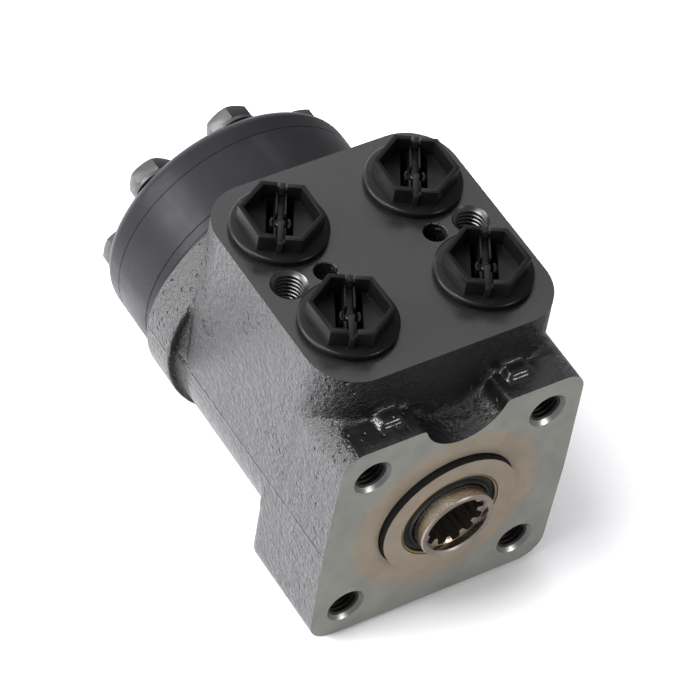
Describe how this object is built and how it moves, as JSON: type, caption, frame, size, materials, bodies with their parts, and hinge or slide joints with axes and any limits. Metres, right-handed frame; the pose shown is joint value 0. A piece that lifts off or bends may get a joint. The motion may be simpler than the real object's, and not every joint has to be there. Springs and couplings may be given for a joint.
{
  "type": "hydrostatic steering control unit",
  "caption": "Orbital hydraulic steering unit: cast housing with square flange, splined drive socket, plugged ports on top and a round bolted gerotor section behind.",
  "frame": {"origin": "middle of the footprint, at the height of the lowest point", "axes": "+Y runs along the shaft from the splined drive end to the gerotor end, +Z points out of the port face, +X is to the right seen from the drive end"},
  "size_m": [0.0874, 0.1412, 0.1073],
  "materials": {
    "paint": "gloss black paint over a sand casting, machined faces satin",
    "stack_paint": "semi-gloss black paint",
    "steel": "ground",
    "spring_steel": "rolled",
    "dark_steel": "black oxide",
    "plastic": "moulded",
    "rubber": "matte",
    "seal_case": "satin"
  },
  "bodies": {
    "housing_body": {"housing": "paint", "dust_seal": "seal_case", "shaft_seal": "rubber", "bearing_race_front": "steel", "distributor_plate": "stack_paint", "gear_ring": "stack_paint", "end_cover": "stack_paint", "housing_seal_ring": "rubber", "plate_seal_ring": "rubber", "cover_seal_ring": "rubber", "check_valve_seat": "steel", "cover_screw_1": "dark_steel", "cover_screw_2": "dark_steel", "cover_screw_3": "dark_steel", "cover_screw_4": "dark_steel", "cover_screw_5": "dark_steel", "cover_screw_6": "dark_steel", "cover_screw_7": "dark_steel", "screw_washer_1": "dark_steel", "screw_washer_2": "dark_steel", "screw_washer_3": "dark_steel", "screw_washer_4": "dark_steel", "screw_washer_5": "dark_steel", "screw_washer_6": "dark_steel", "screw_washer_7": "dark_steel"},
    "sleeve_body": {"sleeve": "steel", "cross_pin": "steel", "centring_springs": "spring_steel", "bearing_race_rear": "steel"},
    "spool_body": {"spool": "steel"},
    "orbit_body": {"cardan_spacer": "steel"},
    "rotor_body": {"rotor": "steel"},
    "cardan_body": {"cardan_shaft": "dark_steel"},
    "cage_body": {"needle_cage": "steel"},
    "ball_body": {"check_ball": "steel"},
    "plug_body_1": {"port_plug_1": "plastic", "plug_seal_1": "rubber"},
    "plug_body_2": {"port_plug_2": "plastic", "plug_seal_2": "rubber"},
    "plug_body_3": {"port_plug_3": "plastic", "plug_seal_3": "rubber"},
    "plug_body_4": {"port_plug_4": "plastic", "plug_seal_4": "rubber"}
  },
  "joints": [
    {"name": "sleeve_turn", "type": "hinge", "parent": "housing_body", "child": "sleeve_body", "pos_m": [0, -0.0186, 0.04166], "axis": [0, 1, 0], "continuous": true},
    {"name": "spool_turn", "type": "hinge", "parent": "sleeve_body", "child": "spool_body", "pos_m": [0, -0.0186, 0.04166], "axis": [0, 1, 0], "range_deg": [-10, 10], "stiffness_Nm_per_rad": 8},
    {"name": "rotor_orbit", "type": "hinge", "parent": "housing_body", "child": "orbit_body", "pos_m": [0, 0.0464, 0.04166], "axis": [0, 1, 0], "continuous": true},
    {"name": "rotor_turn", "type": "hinge", "parent": "orbit_body", "child": "rotor_body", "pos_m": [0, 0.0464, 0.04446], "axis": [0, 1, 0], "continuous": true},
    {"name": "cardan_turn", "type": "hinge", "parent": "orbit_body", "child": "cardan_body", "pos_m": [0, -0.0186, 0.04166], "axis": [0, 0.9991, 0.0432], "continuous": true},
    {"name": "needle_cage_turn", "type": "hinge", "parent": "housing_body", "child": "cage_body", "pos_m": [0, -0.0521, 0.04166], "axis": [0, 1, 0], "continuous": true},
    {"name": "check_ball_lift", "type": "slide", "parent": "housing_body", "child": "ball_body", "axis": [0, 0, 1], "range_m": [0, 0.0015]},
    {"name": "plug_lift_1", "type": "slide", "parent": "housing_body", "child": "plug_body_1", "axis": [0, 0, 1], "range_m": [0, 0.025]},
    {"name": "plug_lift_2", "type": "slide", "parent": "housing_body", "child": "plug_body_2", "axis": [0, 0, 1], "range_m": [0, 0.025]},
    {"name": "plug_lift_3", "type": "slide", "parent": "housing_body", "child": "plug_body_3", "axis": [0, 0, 1], "range_m": [0, 0.025]},
    {"name": "plug_lift_4", "type": "slide", "parent": "housing_body", "child": "plug_body_4", "axis": [0, 0, 1], "range_m": [0, 0.025]}
  ],
  "couplings": [
    {"joint": "rotor_orbit", "follows": "sleeve_turn", "ratio": -6},
    {"joint": "rotor_turn", "follows": "sleeve_turn", "ratio": 7},
    {"joint": "cardan_turn", "follows": "sleeve_turn", "ratio": 7},
    {"joint": "needle_cage_turn", "follows": "sleeve_turn", "ratio": 0.5}
  ]
}
